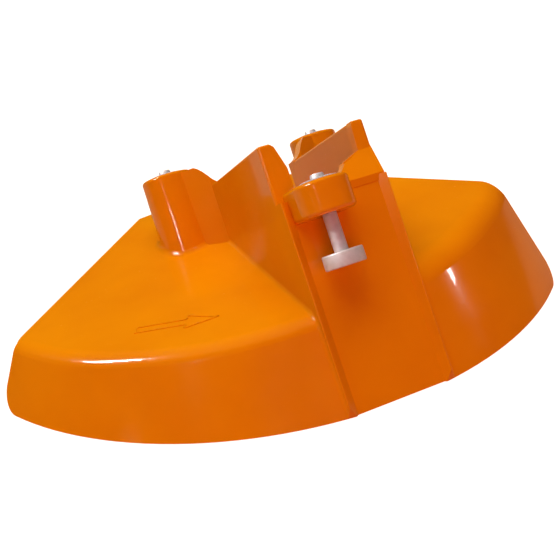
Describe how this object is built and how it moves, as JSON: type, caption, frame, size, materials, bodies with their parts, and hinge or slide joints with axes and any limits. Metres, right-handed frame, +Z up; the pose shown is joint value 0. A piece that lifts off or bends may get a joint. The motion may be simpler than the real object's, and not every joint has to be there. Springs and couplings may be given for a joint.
{
  "type": "brush cutter blade guard",
  "caption": "Painted cast blade guard of a brush cutter: fan-shaped shell with a leaning bracket, rear bosses and captive fixing screws.",
  "frame": {"origin": "centre of the whole guard's box on the rim plane; the blade's axis stands 14.36 mm towards +X and 53.13 mm towards +Y of it", "axes": "+Z up along the blade's axis, away from the blade; -Y towards the skirt's middle; +X towards the shorter lobe"},
  "size_m": [0.2144, 0.1552, 0.0848],
  "materials": {
    "guard_paint": "high gloss enamel over aluminium",
    "screw_zinc": "matt zinc plate",
    "washer_steel": "bright zinc plate"
  },
  "bodies": {
    "guard": {"guard_casting": "guard_paint"},
    "ear_washer": {"ear_retaining_washer": "washer_steel"},
    "ear_screw": {"ear_screw": "screw_zinc"},
    "left_washer": {"left_retaining_washer": "washer_steel"},
    "left_screw": {"left_screw": "screw_zinc"},
    "right_washer": {"right_retaining_washer": "washer_steel"},
    "right_screw": {"right_screw": "screw_zinc"}
  },
  "joints": [
    {"name": "ear_screw_lift", "type": "slide", "parent": "guard", "child": "ear_washer", "axis": [0, 0.4656, 0.885], "range_m": [0, 0.0131]},
    {"name": "ear_screw_turn", "type": "hinge", "parent": "ear_washer", "child": "ear_screw", "pos_m": [0.00686, -0.04736, 0.07445], "axis": [0, 0.4656, 0.885], "continuous": true},
    {"name": "left_screw_lift", "type": "slide", "parent": "guard", "child": "left_washer", "axis": [0, 0.4656, 0.885], "range_m": [0, 0.0131]},
    {"name": "left_screw_turn", "type": "hinge", "parent": "left_washer", "child": "left_screw", "pos_m": [-0.01934, 0.05003, 0.05531], "axis": [0, 0.4656, 0.885], "continuous": true},
    {"name": "right_screw_lift", "type": "slide", "parent": "guard", "child": "right_washer", "axis": [0, 0.4656, 0.885], "range_m": [0, 0.0131]},
    {"name": "right_screw_turn", "type": "hinge", "parent": "right_washer", "child": "right_screw", "pos_m": [0.04806, 0.05003, 0.05531], "axis": [0, 0.4656, 0.885], "continuous": true}
  ]
}
